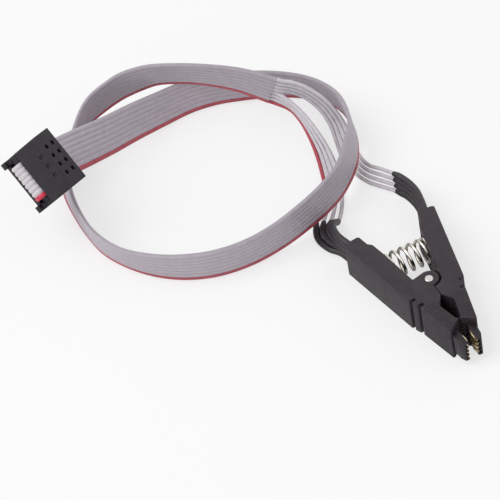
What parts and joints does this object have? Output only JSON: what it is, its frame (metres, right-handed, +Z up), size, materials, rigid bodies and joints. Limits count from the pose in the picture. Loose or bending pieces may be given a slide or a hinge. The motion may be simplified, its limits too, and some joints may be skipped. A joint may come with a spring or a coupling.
{
  "type": "ic test clip",
  "caption": "Sprung two-lever test clip that grips a small surface-mount chip, with combs of contacts, shrink-sleeved wires, a flat ribbon cable and a two-row crimp socket.",
  "frame": {"origin": "on the surface the clip lies on, under the middle of the clip, on the axis of the pivot pin", "axes": "+Z up along the pivot pin, +Y from the pin towards the handles, -Y towards the jaws, +X towards the sprung lever; the clip lies on its side"},
  "size_m": [0.0858, 0.1213, 0.0314],
  "materials": {
    "lever_plastic": "fine matt moulded",
    "comb_plastic": "matt moulded",
    "contact_metal": "gold plated",
    "pin_steel": "satin nickel plated",
    "spring_steel": "bright nickel plated wire",
    "sleeve_rubber": "semi-matt shrink sleeve",
    "wire_grey": "satin insulation",
    "wire_red": "satin insulation",
    "ribbon_grey": "satin insulation",
    "socket_plastic": "matt moulded"
  },
  "bodies": {
    "fixed_lever_and_cable": {"lever_a": "lever_plastic", "comb_a": "comb_plastic", "contact_a1": "contact_metal", "contact_a2": "contact_metal", "contact_a3": "contact_metal", "contact_a4": "contact_metal", "pivot_pin": "pin_steel", "coil_spring": "spring_steel", "sleeve_a1": "sleeve_rubber", "sleeve_a2": "sleeve_rubber", "sleeve_a3": "sleeve_rubber", "sleeve_a4": "sleeve_rubber", "wire_a1": "wire_red", "wire_a2": "wire_grey", "wire_a3": "wire_grey", "wire_a4": "wire_grey", "wire_b1": "wire_grey", "wire_b2": "wire_grey", "wire_b3": "wire_grey", "wire_b4": "wire_grey", "ribbon_cable": "ribbon_grey", "socket_body": "socket_plastic", "socket_cover": "socket_plastic", "strain_relief": "socket_plastic", "socket_contact_1": "contact_metal", "socket_contact_2": "contact_metal", "socket_contact_3": "contact_metal", "socket_contact_4": "contact_metal", "socket_contact_5": "contact_metal", "socket_contact_6": "contact_metal", "socket_contact_7": "contact_metal", "socket_contact_8": "contact_metal"},
    "sprung_lever": {"lever_b": "lever_plastic", "comb_b": "comb_plastic", "contact_b1": "contact_metal", "contact_b2": "contact_metal", "contact_b3": "contact_metal", "contact_b4": "contact_metal", "sleeve_b1": "sleeve_rubber", "sleeve_b2": "sleeve_rubber", "sleeve_b3": "sleeve_rubber", "sleeve_b4": "sleeve_rubber"}
  },
  "joints": [
    {"name": "jaw_hinge", "type": "hinge", "parent": "fixed_lever_and_cable", "child": "sprung_lever", "pos_m": [0, 0, 0.0047], "axis": [0, 0, 1], "range_deg": [0, 25], "stiffness_Nm_per_rad": 0.03, "springref_deg": -22.92, "deforming": ["coil_spring", "sleeve_b1", "sleeve_b2", "sleeve_b3", "sleeve_b4", "wire_b1", "wire_b2", "wire_b3", "wire_b4"]}
  ]
}
